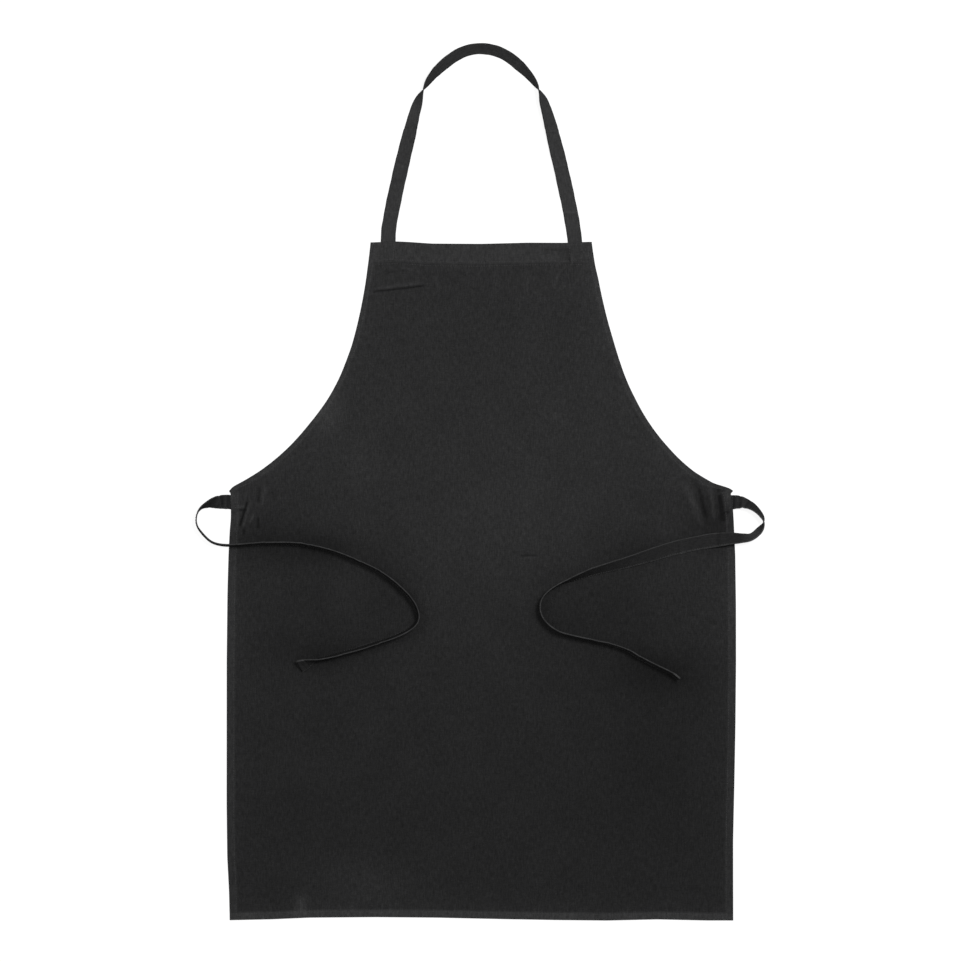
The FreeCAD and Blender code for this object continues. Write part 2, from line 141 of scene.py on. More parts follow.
# Folds pressed or pulled into the cloth: start, end, half width, height, softness of the ends.
# A height below 0 is a valley.
FOLDS = [
    # the sharp crease under the left end of the top hem, with its lit lip
    ((-146, 251.5), (-74, 260.0), 1.4, -1.20, 0.08),
    ((-146, 255.2), (-74, 263.7), 2.2, 0.65, 0.10),
    ((-118, 287.0), (-72, 276.0), 2.2, 0.35, 0.30),
    ((-132, 276.0), (-96, 281.0), 1.6, -0.30, 0.25),
    ((-60, 284.0), (-58, 246.0), 3.0, 0.30, 0.40),
    ((20, 286.0), (16, 240.0), 3.5, 0.28, 0.40),
    ((58, 284.0), (62, 236.0), 3.0, 0.30, 0.40),
    ((104, 288.0), (96, 252.0), 2.6, 0.35, 0.40),
    # the strap's end and the seam allowance standing up in the top hem at the right
    ((115.0, 306.5), (116.8, 288.5), 1.5, -1.30, 0.10),
    ((119.5, 304.0), (120.7, 287.0), 1.8, 0.75, 0.12),
    ((82, 308.6), (114.5, 306.2), 1.3, -0.80, 0.15),
    ((54, 301.0), (58, 295.0), 2.6, -0.35, 0.30),
    ((-51, 307.0), (-49, 300.0), 2.6, -0.30, 0.30),
    ((128, 293.5), (146, 294.5), 1.2, -0.60, 0.20),
    # the short crease on the belly
    ((49, -99.9), (76, -99.1), 1.2, -0.80, 0.20),
    ((49, -103.2), (76, -102.4), 1.6, 0.40, 0.20),
    # pulls fanning out of the left tie's root
    ((-330.5, -39.2), (-310.6, -39.0), 1.2, -1.10, 0.10),
    ((-330.0, -35.0), (-313.0, -35.0), 2.4, 0.50, 0.15),
    ((-311.3, -26.5), (-322.3, -62.0), 1.4, -1.60, 0.10),
    ((-307.5, -27.0), (-318.5, -63.0), 1.8, 0.75, 0.15),
    ((-301.5, -42.0), (-309.5, -58.0), 1.4, 0.80, 0.25),
    ((-297.2, -34.0), (-295.6, -4.0), 1.8, -0.70, 0.25),
    ((-291.5, -36.0), (-289.5, -4.0), 2.4, 0.70, 0.25),
    ((-297.3, -48.0), (-297.5, -66.0), 1.6, -0.80, 0.25),
    ((-316.0, -63.0), (-317.0, -74.0), 1.8, -0.70, 0.25),
    ((-327.5, -51.0), (-322.0, -53.5), 2.2, 0.80, 0.30),
    ((-328.5, -71.0), (-324.0, -71.0), 1.4, -0.70, 0.30),
    ((-279.0, -8.0), (-276.0, -28.0), 2.4, -0.45, 0.30),
    # pulls out of the right tie's root
    ((316.8, -17.0), (321.5, -55.0), 2.2, -1.70, 0.10),
    ((327.0, -10.0), (327.5, -27.0), 2.6, 0.80, 0.20),
    ((326.0, -47.0), (327.5, -61.0), 2.2, 0.70, 0.20),
    ((322.0, -43.0), (331.0, -42.0), 1.4, -1.20, 0.20),
    ((330.5, -33.5), (332.5, -36.0), 1.4, 0.80, 0.30),
    ((310.0, -58.0), (304.0, 4.0), 2.4, 0.80, 0.22),
    ((301.5, -58.0), (284.0, 8.0), 3.0, -0.65, 0.25),
    ((296.0, -66.0), (268.0, 4.0), 4.6, 0.70, 0.28),
    ((311.0, -4.0), (317.0, -16.0), 2.0, -0.80, 0.20),
    # soft marks of old folding on the skirt
    ((-200, -540.0), (-120, -505.0), 14.0, 0.60, 0.40),
    ((-262, -300.0), (-180, -480.0), 9.0, 0.25, 0.40),
    ((-240, -270.0), (-150, -470.0), 7.0, -0.35, 0.40),
    ((-110, -70.0), (-100, -240.0), 10.0, -0.35, 0.40),
    ((-96, -60.0), (-84, -200.0), 12.0, 0.30, 0.40),
    ((120, -250.0), (220, -420.0), 12.0, 0.20, 0.45),
    ((60, -300.0), (90, -560.0), 16.0, 0.20, 0.45),
    ((-262, 52.0), (-214, 64.0), 16.0, 1.10, 0.40),
    ((225, 70.0), (180, 150.0), 14.0, 0.70, 0.45),
    ((-190, 120.0), (-230, 80.0), 12.0, 0.70, 0.45),
]
WAVES = [  # slow undulation of cloth on a table: wavelength, direction in degrees, height
    (310, 12, 0.30), (190, 68, 0.26), (143, 131, 0.22), (97, 41, 0.14),
    (71, 102, 0.11), (53, 163, 0.08), (31, 77, 0.05),
]
PHASES = rng.uniform(0, 2 * np.pi, (len(WAVES), 2))


def folds(x, y, widest=99.0):
    """Summed height of the pressed folds, up to that half width."""
    height = np.zeros_like(x)
    for start, end, half, rise, soft in (f for f in FOLDS if f[2] <= widest):
        off, share = line_shape(x, y, start, end)
        ends = ease(share / soft) * ease((1 - share) / soft)
        height += rise * ends * np.exp(-((off / half) ** 2))
    return height


def waves(x, y):
    """Slow undulation, which the table keeps low."""
    height = np.zeros_like(x)
    for (length, way, rise), (one, other) in zip(WAVES, PHASES):
        c, s = np.cos(np.radians(way)), np.sin(np.radians(way))
        bend = 14.0 * np.sin((x * -s + y * c) / (length * 0.8) + other)
        height += rise * np.sin((x * c + y * s + bend) * 2 * np.pi / length + one)
    return height


def near_edges(x, y):
    """Distances in from the side or armhole, from the bottom and from the top edge."""
    sides = [(half_width(y, s) - s * x) * edge_lean(y, s) for s in (-1, 1)]
    side = np.where(x < 0, sides[0], sides[1])
    return side, y - BOTTOM - along_table(BOTTOM_WAVER, x), TOP + along_table(TOP_WAVER, x) - y


def hems(x, y):
    """How much the turned plies lift the cloth, with the seams pulled down into it: 0 to about 1."""
    side, bottom, top = near_edges(x, y)
    wide = np.where(y > WAIST, ARMHOLE_HEM, SIDE_HEM)
    lift = np.maximum.reduce([band(side, wide), band(bottom, BOTTOM_HEM), band(top, TOP_HEM)])
    for distance, width in ((side, wide), (bottom, BOTTOM_HEM), (top, TOP_HEM), (top, TOP_HEM + 4.2)):
        lift -= 0.45 * np.exp(-(((distance - width + SEAM_IN) / 0.9) ** 2))
    return lift


def pucker(x, y):
    """Small ripples that the seams draw in along the armholes and, less, along the other hems."""
    side, bottom, top = near_edges(x, y)
    armhole = ease((y - WAIST) / 20) * np.exp(-(((side - 6) / 7.0) ** 2))
    along = y * np.where(y > 90, 1.0, 1.6) + np.where(x < 0, 13.0, 0.0)
    ripple = np.sin(along * 0.47 + 2.1 * np.sin(along * 0.071)) + 0.6 * np.sin(along * 0.83 + 1.0)
    other = np.exp(-(((side - 10) / 6.0) ** 2)) * (y < WAIST) * np.sin(y * 0.29 + 1.6 * np.sin(y * 0.05))
    low = np.exp(-(((bottom - 10) / 6.0) ** 2)) * np.sin(x * 0.27 + 1.9 * np.sin(x * 0.043))
    high = np.exp(-(((top - 28) / 7.0) ** 2)) * np.sin(x * 0.42 + 1.7 * np.sin(x * 0.07))
    return 0.26 * armhole * ripple + 0.12 * other + 0.14 * low + 0.22 * high


def strap_lift(x, y):
    """The sewn ends of the neck strap and of the ties stand up through the hems that hold them."""
    lift = np.zeros_like(x)
    for centre in (-STRAP_X, STRAP_X):
        across = ease((TAPE / 2 - np.abs(x - centre)) / 1.6 + 0.5)
        lift += 0.55 * across * ease((y - (TOP - 25)) / 2.0)
    for side in (-1, 1):
        across = ease((TAPE / 2 - np.abs(y - TIE_Y)) / 1.8 + 0.5)
        lift += 0.5 * across * ease((side * x - (SIDE_HALF - 12)) / 2.0)
    return lift


def cloth_top(x, y):
    """Height of the cloth's face."""
    side, bottom, top = near_edges(x, y)
    rim = np.minimum.reduce([side, bottom, top])
    calm = ease(rim / 60)
    height = REST_TOP + HEM_RISE * hems(x, y) + folds(x, y) + pucker(x, y) + strap_lift(x, y)
    height += (waves(x, y) + 0.35) * (0.35 + 0.65 * calm)
    height -= 0.35 * np.exp(-((rim / 0.7) ** 2))
    return np.maximum(height, LOWEST_FACE)


# Painted fall-off of the light on the open cloth: paler at the top, darker towards the bottom. How pale
# it is at each height, from black at 0.
PAINTED_LIGHT_FALLOFF = [
    (-583, 0.19), (-540, 0.14), (-420, 0.15), (-300, 0.17), (-240, 0.20),
    (-180, 0.24), (-100, 0.27), (0, 0.30), (80, 0.33), (317, 0.34),
]
LEAST_PALENESS, PALENESS_SPAN = 0.17, 0.83
# Broad patches that are paler or darker than that: centre, reach both ways, gain. The dark ones beside
# the tie roots and along the ties are painted shade; the pale ones on the left armhole bump and on the
# bump near the bottom left are painted light where the bumps catch it; the others make the cloth paler
# or darker in broad places.
PAINTED_SHADE_LIGHT_AND_TONE_PATCHES = [
    (0, -75, 120, 75, 0.10), (70, 20, 90, 90, 0.05), (-160, 20, 26, 30, 0.12),
    (-204, 90, 20, 24, 0.34), (-292, -78, 52, 34, -0.20), (-212, -90, 48, 24, -0.24),
    (316, -52, 44, 40, -0.32), (205, -92, 48, 24, -0.16), (-125, -140, 34, 60, -0.14),
    (-235, -170, 70, 60, -0.10), (150, -175, 90, 60, -0.14), (-220, -230, 60, 26, -0.14),
    (245, -255, 60, 34, -0.18), (235, -350, 110, 170, -0.10), (-160, -535, 70, 34, 0.18),
    (-240, -566, 8, 14, 0.55), (120, 302, 16, 14, -0.24), (-122, 303, 15, 13, -0.12),
    (-20, 215, 150, 90, -0.05),
]


def cloth_wear_and_painted_light(x, y):
    """How pale the black cloth is: hems most, then edges and the crests of folds; painted shade in fold
    valleys and beside the ties, and a painted fall-off of light down the cloth.
    """
    side, bottom, top = near_edges(x, y)
    wide = np.where(y > WAIST, ARMHOLE_HEM, SIDE_HEM)
    # The hems are paler, partly from wear and partly as painted glare of the white floor round the
    # edges; the halo near the sides and the band at the bottom edge are painted glare.
    hem = np.maximum.reduce(
        [0.22 * band(side, wide, 3), 0.50 * band(bottom, BOTTOM_HEM, 3), 0.27 * band(top, TOP_HEM, 3)]
    )
    painted_edge_glare = 0.11 * np.exp(-np.maximum(np.minimum(side, bottom), 0) / 26.0)
    # Painted shade darkens the valleys of the narrow folds; their crests are paler, partly from rubbing
    # and partly as painted light.
    painted_fold_shade = 0.42 * np.clip(folds(x, y, widest=5.0), -1.4, 0.7)
    wear_and_painted_light = hem + painted_edge_glare + painted_fold_shade + along_table(PAINTED_LIGHT_FALLOFF, y) + 0.04 * np.exp(-((bottom / 22) ** 2))
    for centre_x, centre_y, wide_x, wide_y, gain in PAINTED_SHADE_LIGHT_AND_TONE_PATCHES:
        wear_and_painted_light += gain * np.exp(-(((x - centre_x) / wide_x) ** 2) - ((y - centre_y) / wide_y) ** 2)
    return np.clip(LEAST_PALENESS + PALENESS_SPAN * wear_and_painted_light, 0.02, 1.5)


# ---- mesh helpers ----


def new_object(name, vertices, faces, uv, wear_and_painted_light):
    """A mesh object from millimetre vertices, with its flat-cut coordinates and its paleness, which
    carries wear together with painted light and shade.
    """
    mesh = bpy.data.meshes.new(name)
    vertices = np.maximum(vertices, [-np.inf, -np.inf, CLEAR])
    mesh.from_pydata((vertices * MM).tolist(), [], [list(map(int, f)) for f in faces])
    layer = mesh.uv_layers.new(name="cut")
    corner = np.zeros(len(mesh.loops), np.int32)
    mesh.loops.foreach_get("vertex_index", corner)
    layer.data.foreach_set("uv", np.asarray(uv, np.float32)[corner].ravel())
    layer = mesh.attributes.new("wear_and_painted_light", "FLOAT", "POINT")
    layer.data.foreach_set("value", np.asarray(wear_and_painted_light, np.float32))
    mesh.polygons.foreach_set("use_smooth", [True] * len(mesh.polygons))
    mesh.update()
    item = bpy.data.objects.new(name, mesh)
    bpy.context.scene.collection.objects.link(item)
    return item


def grid_faces(rows, columns, closed=False):
    """Quads of a grid stored row by row; closed joins the last column to the first."""
    i, j = np.meshgrid(np.arange(rows - 1), np.arange(columns if closed else columns - 1), indexing="ij")
    k = (j + 1) % columns
    here, above = i * columns, (i + 1) * columns
    return np.stack([here + j, here + k, above + k, above + j], -1).reshape(-1, 4)


def fold_with_waist(item):
    """Bakes the item's placement into its mesh."""
    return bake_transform(item)


# ---- materials ----


def node(tree, kind, values=None, **props):
    """Adds a shader node, sets its properties and its unlinked inputs."""
    made = tree.nodes.new(kind)
    for key, setting in props.items():
        setattr(made, key, setting)
    for key, setting in (values or {}).items():
        made.inputs[key].default_value = setting
    return made


def cotton(name, black, palest, slub=0.28, weave=0.35, sheen=0.02, gloss=0.10, lint=0.5):
    """Matt black cotton: a plain weave with slubs along the warp, mottled dye, lint, and paleness from
    an attribute that carries wear together with painted light and shade, such as paler crests and darker
    creases.
    """
    material = bpy.data.materials.new(name)
    material.use_nodes = True
    tree = material.node_tree
    tree.nodes.clear()
    link = tree.links.new
    out = node(tree, "ShaderNodeOutputMaterial")
    shader = node(
        tree,
        "ShaderNodeBsdfPrincipled",
        {"Roughness": 0.95, "Specular IOR Level": gloss, "Sheen Weight": sheen, "Sheen Roughness": 0.45},
    )
    link(shader.outputs["BSDF"], out.inputs["Surface"])
    cut = node(tree, "ShaderNodeUVMap", uv_map="cut")

    def noise(across, along, detail, rough, distort=0.0):
        scale = node(tree, "ShaderNodeMapping", {"Scale": (across, along, 1.0)})
        values = {"Scale": 1.0, "Detail": detail, "Roughness": rough, "Distortion": distort}
        made = node(tree, "ShaderNodeTexNoise", values)
        link(cut.outputs["UV"], scale.inputs["Vector"])
        link(scale.outputs["Vector"], made.inputs["Vector"])
        return made.outputs["Fac"]

    def ranged(source, low, high, to_low, to_high):
        values = {"From Min": low, "From Max": high, "To Min": to_low, "To Max": to_high}
        made = node(tree, "ShaderNodeMapRange", values)
        link(source, made.inputs["Value"])
        return made.outputs["Result"]

    def maths(operation, one, other):
        made = node(tree, "ShaderNodeMath", operation=operation)
        for socket, value in zip(made.inputs, (one, other)):
            if isinstance(value, (int, float)):
                socket.default_value = value
            else:
                link(value, socket)
        return made.outputs[0]

    # Coordinates are millimetres on the flat cut; the warp runs along the second one.
    slubs = noise(0.60, 0.11, 3, 0.62, 0.3)
    fine = noise(1.1, 0.45, 2, 0.7)
    weft = noise(0.12, 0.9, 2, 0.6)
    clumps = noise(0.24, 0.15, 2, 0.6, 0.6)
    mottle = noise(0.022, 0.017, 3, 0.55)
    tone = ranged(slubs, 0.28, 0.72, 1 - slub, 1 + slub)
    tone = maths("MULTIPLY", tone, ranged(fine, 0.3, 0.7, 1 - slub * 0.7, 1 + slub * 0.7))
    tone = maths("MULTIPLY", tone, ranged(weft, 0.3, 0.7, 1 - slub * 0.55, 1 + slub * 0.55))
    tone = maths("MULTIPLY", tone, ranged(clumps, 0.3, 0.7, 1 - slub * 0.5, 1 + slub * 0.5))
    tone = maths("MULTIPLY", tone, ranged(mottle, 0.3, 0.7, 0.93, 1.07))
    specks = ranged(noise(0.55, 0.4, 1, 0.4, 0.8), 0.735, 0.78, 0.0, lint)
    tone = maths("ADD", tone, specks)
    # The attribute mixes black towards the palest colour: wear, and also painted light and painted
    # shade.
    wear_and_painted_light = node(tree, "ShaderNodeAttribute", attribute_name="wear_and_painted_light")
    mix = node(tree, "ShaderNodeMix", data_type="RGBA")
    mix.inputs["A"].default_value = (*black, 1)
    mix.inputs["B"].default_value = (*palest, 1)
    link(wear_and_painted_light.outputs["Fac"], mix.inputs["Factor"])
    tint = node(tree, "ShaderNodeVectorMath", operation="SCALE")
    link(mix.outputs["Result"], tint.inputs[0])
    link(tone, tint.inputs["Scale"])
    link(tint.outputs["Vector"], shader.inputs["Base Color"])

    # The weave itself: over-and-under threads, about two to the millimetre.
    waves_out = []
    values = {"Scale": 0.62, "Distortion": 0.6, "Detail": 1.0}
    for direction in ("X", "Y"):
        made = node(tree, "ShaderNodeTexWave", values, bands_direction=direction)
        link(cut.outputs["UV"], made.inputs["Vector"])
        waves_out.append(made.outputs["Fac"])
    threads = maths("MULTIPLY", waves_out[0], waves_out[1])
    relief = maths("ADD", maths("MULTIPLY", threads, 0.5), maths("MULTIPLY", slubs, 1.2))
    bump = node(tree, "ShaderNodeBump", {"Strength": weave, "Distance": 0.00035})
    link(relief, bump.inputs["Height"])
    link(bump.outputs["Normal"], shader.inputs["Normal"])
    return material


# Black and palest colours: between them the paleness attribute sets wear and painted light and shade.
BLACK, PALEST = (0.0050, 0.0050, 0.0051), (0.0375, 0.0375, 0.0380)
TAPE_BLACK, TAPE_PALEST = (0.0120, 0.0120, 0.0122), (0.056, 0.056, 0.0565)
THREAD_BLACK, THREAD_WORN = (0.040, 0.040, 0.0405), (0.070, 0.070, 0.070)
cloth_cotton = cotton("cloth_cotton", BLACK, PALEST)
hem_cotton = cotton("hem_cotton", BLACK, PALEST, slub=0.16)
tape_cotton = cotton("tape_cotton", TAPE_BLACK, TAPE_PALEST, slub=0.20, weave=0.5, sheen=0.0, gloss=0.0)
thread_cotton = cotton(
    "thread_cotton", THREAD_BLACK, THREAD_WORN, slub=0.10, weave=0.3, sheen=0.0, gloss=0.1, lint=0.0
)


# ---- the cloth ----


def cloth_grid():
    """Plan places of the cloth's grid: columns crowd at the edges and run parallel to them."""
    edge = np.concatenate([[0, 0.6], np.arange(1.6, 45, 1.3)])
    inner = np.linspace(-1, 1, 201)[1:-1]
    rows = np.arange(BOTTOM + 2.0, TOP - 1.0, 1.6)
    rows = np.concatenate([[BOTTOM, BOTTOM + 0.6], rows, [TOP - 0.6, TOP]])
    sides = []
    for side in (-1, 1):
        lean = np.array([edge_lean(rows + shift, side) for shift in np.linspace(-14, 14, 9)]).mean(0)
        lean = np.where(rows > WAIST + 14, edge_lean(rows, side), lean)
        sides.append(side * (half_width(rows, side)[:, None] - edge[None, :] / lean[:, None]))
    left, right = sides
    low, high = left[:, -1:], right[:, -1:]
    middle = (low + high) / 2 + inner[None, :] * (high - low) / 2
    x = np.concatenate([left, middle, right[:, ::-1]], axis=1)
    y = np.repeat(rows[:, None], x.shape[1], axis=1)
    share = (y - BOTTOM) / (TOP - BOTTOM)
    low, high = along_table(BOTTOM_WAVER, x), along_table(TOP_WAVER, x)
    laid = y + low * ease(1 - share * 6) + high * ease(share * 6 - 5)
    return x, laid, y


def make_cloth():
    """One continuous sheet for the skirt and the bib."""
    x, y, cut_y = cloth_grid()
    z = cloth_top(x, y)
    item = new_object(
        "apron_cloth",
        np.stack([x, y, z], -1).reshape(-1, 3),
        grid_faces(*x.shape),
        uv=np.stack([x, cut_y], -1).reshape(-1, 2),
        wear_and_painted_light=cloth_wear_and_painted_light(x, y).ravel(),
    )
    thick = item.modifiers.new("ply", "SOLIDIFY")
    thick.thickness, thick.offset = CLOTH * MM, -1
    item.data.materials.append(cloth_cotton)
    fold_with_waist(item)
    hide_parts("skirt_panel", "bib_panel")
    return item


cloth = make_cloth()


# ---- turned hems under the edges ----

STRIP_LOW, STRIP_WEAR = 0.32, 0.54
EDGE_IN = 0.25  # a turned hem stops this far inside the cloth's edge


def strip(name, outer, inner, nodes):
    """A turned hem: a rounded band between two lines, up to the underside of the cloth above it."""
    shares = np.array([0, 0.02, 0.08, 0.25, 0.5, 0.75, 0.93, 0.985, 1.0])
    across = outer[:, None, :] + shares[None, :, None] * (inner - outer)[:, None, :]
    x, y = across[..., 0], across[..., 1]
    top = cloth_top(x, y) - CLOTH - CLEAR
    low = np.full_like(top, STRIP_LOW)
    middle = (top + low) / 2
    round_off = np.array([0.25, 0.75, 1, 1, 1, 1, 1, 0.75, 0.25])
    upper, lower = middle + (top - middle) * round_off, middle + (low - middle) * round_off
    x, y = (np.concatenate([a, a[:, ::-1]], axis=1) for a in (x, y))
    z = np.concatenate([upper, lower[:, ::-1]], axis=1)
    faces = grid_faces(*x.shape, closed=True).tolist()
    last = (len(x) - 1) * x.shape[1]
    faces += [list(range(x.shape[1]))[::-1], [last + i for i in range(x.shape[1])]]
    item = new_object(
        name,
        np.stack([x, y, z], -1).reshape(-1, 3),
        faces,
        uv=np.stack([x, y], -1).reshape(-1, 2),
        wear_and_painted_light=np.full(x.size, STRIP_WEAR),
    )
    item.data.materials.append(hem_cotton)
    fold_with_waist(item)
    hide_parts(*nodes)
    return item


def side_line(side, inset, low, high, step):
    """Points along a side or armhole, that far in from the edge."""
    y = np.arange(low, high, step)
    y = np.append(y, high)
    return np.stack([side * (half_width(y, side) - inset / edge_lean(y, side)), y], -1)


def level_line(y, wavers, inset, low, high, step):
    """Points along the bottom or the top edge, that far in from it."""
    x = np.append(np.arange(low, high, step), high)
    return np.stack([x, y + along_table(wavers, x) + inset], -1)


for side, word in ((-1, "left"), (1, "right")):
    strip(
        f"turned_hem_{word}_side",
        side_line(side, EDGE_IN, BOTTOM + 1.5, WAIST - 0.5, 5.0),
        side_line(side, SIDE_HEM, BOTTOM + 1.5, WAIST - 0.5, 5.0),
        [f"{word}_side_hem"],
    )
    strip(
        f"turned_hem_{word}_armhole",
        side_line(side, EDGE_IN, WAIST, TOP - 1.5, 4.0),
        side_line(side, ARMHOLE_HEM, WAIST, TOP - 1.5, 4.0),
        [f"{word}_armhole_hem"],
    )
reach = SIDE_HALF - SIDE_HEM - 1.5
strip(
    "turned_hem_bottom",
    level_line(BOTTOM, BOTTOM_WAVER, EDGE_IN, -reach, reach, 8.0),
    level_line(BOTTOM, BOTTOM_WAVER, BOTTOM_HEM, -reach, reach, 8.0),
    ["bottom_hem"],
)
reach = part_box("top_hem")[1].x / MM - 0.6
strip(
    "turned_hem_top",
    level_line(TOP, TOP_WAVER, -EDGE_IN, -reach, reach, 4.0),
    level_line(TOP, TOP_WAVER, -TOP_HEM - 4.0, -reach, reach, 4.0),
    ["top_hem"],
)


# ---- stitches ----


def stitch_shape():
    """Points and faces of one stitch along x, arched so that its ends dip into the cloth."""
    length, radius, turns = 2.5, 0.30, np.arange(6) * np.pi / 3
    rings = []
    for share, thick in ((-1, 0.35), (-0.7, 0.85), (0, 1.0), (0.7, 0.85), (1, 0.35)):
        lift, around = 0.16 - 0.34 * share * share, radius * thick
        along = share * length / 2
        rings += [(along, around * np.cos(a), lift + around * 0.8 * np.sin(a)) for a in turns]
    faces = grid_faces(5, 6, closed=True).tolist()
    return np.array(rings), faces + [[5, 4, 3, 2, 1, 0], [24, 25, 26, 27, 28, 29]]


STITCH_POINTS, STITCH_FACES = stitch_shape()
STITCH_PITCH = 3.4
THREAD_WEAR = 0.4
NEEDLE_LIFT, BOBBIN_HEIGHT = 0.02, 0.42  # over the cloth's face, and over the surface below


def spaced(points, step):
    """Points every step along a line, and the line's direction there."""
    long = np.concatenate([[0], np.cumsum(np.linalg.norm(np.diff(points, axis=0), axis=1))])
    at = np.arange(step, long[-1] - step, step)
    places = np.stack([np.interp(at, long, points[:, k]) for k in range(points.shape[1])], -1)
    ahead = np.stack([np.interp(at + 0.5, long, points[:, k]) for k in range(points.shape[1])], -1)
    direction = ahead - places
    return places, direction / np.linalg.norm(direction, axis=1)[:, None]


def stitches(name, places, directions, normals):
    """One mesh of stitches, each lying along its direction on the side that its normal points to."""
    count = len(places)
    turn = rng.normal(0, 0.05, (count, 1))
    across = np.cross(normals, directions)
    ahead = directions * np.cos(turn) + across * np.sin(turn)
    across = np.cross(normals, ahead)
    size = rng.normal(1.0, 0.05, (count, 1, 1))
    shape = STITCH_POINTS[None] * size
    points = (
        places[:, None, :]
        + shape[..., :1] * ahead[:, None, :]
        + shape[..., 1:2] * across[:, None, :]
        + shape[..., 2:] * normals[:, None, :]
    )
    per = len(STITCH_POINTS)
    faces = [[per * i + k for k in face] for i in range(count) for face in STITCH_FACES]
    uv = np.tile(STITCH_POINTS[:, :2], (count, 1)) + np.repeat(places[:, :2], per, axis=0)
    item = new_object(name, points.reshape(-1, 3), faces, uv=uv, wear_and_painted_light=np.full(count * per, THREAD_WEAR))
    item.data.materials.append(thread_cotton)
    return item


def seam(name, lines, nodes):
    """Stitches along plan lines: needle thread on the cloth's face and bobbin thread under the hem."""
    places, directions, normals = [], [], []
    for line in lines:
        plan, ahead = spaced(line, STITCH_PITCH)
        ahead = np.concatenate([ahead, np.zeros((len(plan), 1))], axis=1)
        face = cloth_top(plan[:, 0], plan[:, 1]) + NEEDLE_LIFT
        for height, up in ((face, 1.0), (np.full(len(plan), BOBBIN_HEIGHT), -1.0)):
            places.append(np.column_stack([plan, height]))
            directions.append(ahead)
            normals.append(np.tile([0, 0, up], (len(plan), 1)))
    item = stitches(name, *(np.concatenate(a) for a in (places, directions, normals)))
    fold_with_waist(item)
    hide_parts(*nodes)
    return item


def box_line(centre_x, centre_y, half_x, half_y):
    """A closed rectangle of points for a tack."""
    corners = [(-1, -1), (1, -1), (1, 1), (-1, 1), (-1, -1)]
    return np.array([(centre_x + a * half_x, centre_y + b * half_y) for a, b in corners], float)


for side, word in ((-1, "left"), (1, "right")):
    seam(
        f"stitches_{word}_side",
        [side_line(side, SIDE_HEM - SEAM_IN, BOTTOM + 3, WAIST - 1.0, 4.0)],
        [f"{word}_side_thread"],
    )
    seam(
        f"stitches_{word}_armhole",
        [side_line(side, ARMHOLE_HEM - SEAM_IN, WAIST + 1, TOP - 3, 4.0)],
        [f"{word}_armhole_thread"],
    )
    seam(
        f"stitches_{word}_tie_root",
        [box_line(side * (SIDE_HALF - 5.6), TIE_Y, 3.4, 7.6)],
        [f"{word}_tie_tack"],
    )
    seam(
        f"stitches_neck_strap_{word}",
        [box_line(side * STRAP_X, TOP - 12.5, 7.6, 9.5)],
        [f"neck_strap_{word}_tack"],
    )
seam(
    "stitches_bottom",
    [level_line(BOTTOM, BOTTOM_WAVER, BOTTOM_HEM - SEAM_IN, -SIDE_HALF + 3, SIDE_HALF - 3, 5.0)],
    ["bottom_thread"],
)
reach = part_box("top_hem")[1].x / MM
for word, inset in (("upper", TOP_HEM - SEAM_IN - 1), ("lower", TOP_HEM + 2.6)):
    seam(
        f"stitches_top_{word}",
        [level_line(TOP, TOP_WAVER, -inset, -reach, reach, 4.0)],
        [f"top_hem_{word}_thread"],
    )


# ---- folded tape: neck strap and ties ----

# Points of each route: x, y and height of the tape's lower edge in metres, and its roll in degrees.
NECK_ROUTE = [
    (-0.1250, 0.2950, 0.0001, 0), (-0.1246, 0.3189, 0.0001, 0), (-0.1220, 0.343, 0.0001, 0),
    (-0.1126, 0.389, 0.0001, -4), (-0.0990, 0.447, 0.0001, -16), (-0.0845, 0.504, 0.0001, -50),
    (-0.0725, 0.528, 0.0001, -104), (-0.051, 0.5525, 0.0001, -127), (-0.026, 0.5700, 0.0001, -126),
]
LEFT_TIE_ROUTE = [
    (-0.336, -0.0282, 0.0003, 0), (-0.348, -0.0278, 0.0003, -22), (-0.362, -0.0300, 0.0002, -64),
    (-0.3775, -0.0385, 0.0002, -95), (-0.3800, -0.0575, 0.0006, -98), (-0.3700, -0.0715, 0.0012, -101),
    (-0.3570, -0.0835, 0.0020, -99), (-0.336, -0.0862, 0.0020, -99), (-0.290, -0.0828, 0.0018, -101),
    (-0.240, -0.0832, 0.0018, -101), (-0.193, -0.0932, 0.0018, -100), (-0.130, -0.1210, 0.0018, -99),
    (-0.0900, -0.1575, 0.0018, -100), (-0.0800, -0.1855, 0.0018, -99), (-0.103, -0.2030, 0.0018, -98),
    (-0.150, -0.2185, 0.0018, -98), (-0.195, -0.2320, 0.0018, -98), (-0.2200, -0.2370, 0.0018, -92),
    (-0.2310, -0.2420, 0.0018, -50), (-0.2420, -0.2465, 0.0018, -28),
]
RIGHT_TIE_ROUTE = [
    (0.336, -0.0284, 0.0003, -10), (0.349, -0.0286, 0.0003, -46), (0.365, -0.0372, 0.0002, -64),
    (0.3762, -0.0520, 0.0006, -75), (0.3715, -0.0635, 0.0010, -112), (0.359, -0.0755, 0.0020, -113),
    (0.345, -0.0768, 0.0020, -130), (0.330, -0.0765, 0.0020, -145), (0.300, -0.0800, 0.0018, -176),
    (0.250, -0.0905, 0.0018, -192), (0.199, -0.1070, 0.0018, -216), (0.150, -0.1195, 0.0018, -236),
    (0.102, -0.1370, 0.0018, -261), (0.0800, -0.1530, 0.0018, -266), (0.0765, -0.1705, 0.0018, -268),
    (0.0835, -0.1860, 0.0018, -270), (0.1000, -0.1990, 0.0018, -272), (0.1120, -0.2030, 0.0018, -273),
    (0.1400, -0.2090, 0.0018, -274), (0.1900, -0.2215, 0.0018, -278), (0.2120, -0.2365, 0.0018, -283),
    (0.2400, -0.2495, 0.0018, -284), (0.2535, -0.2555, 0.0018, -282), (0.2618, -0.2632, 0.0018, -280),
]


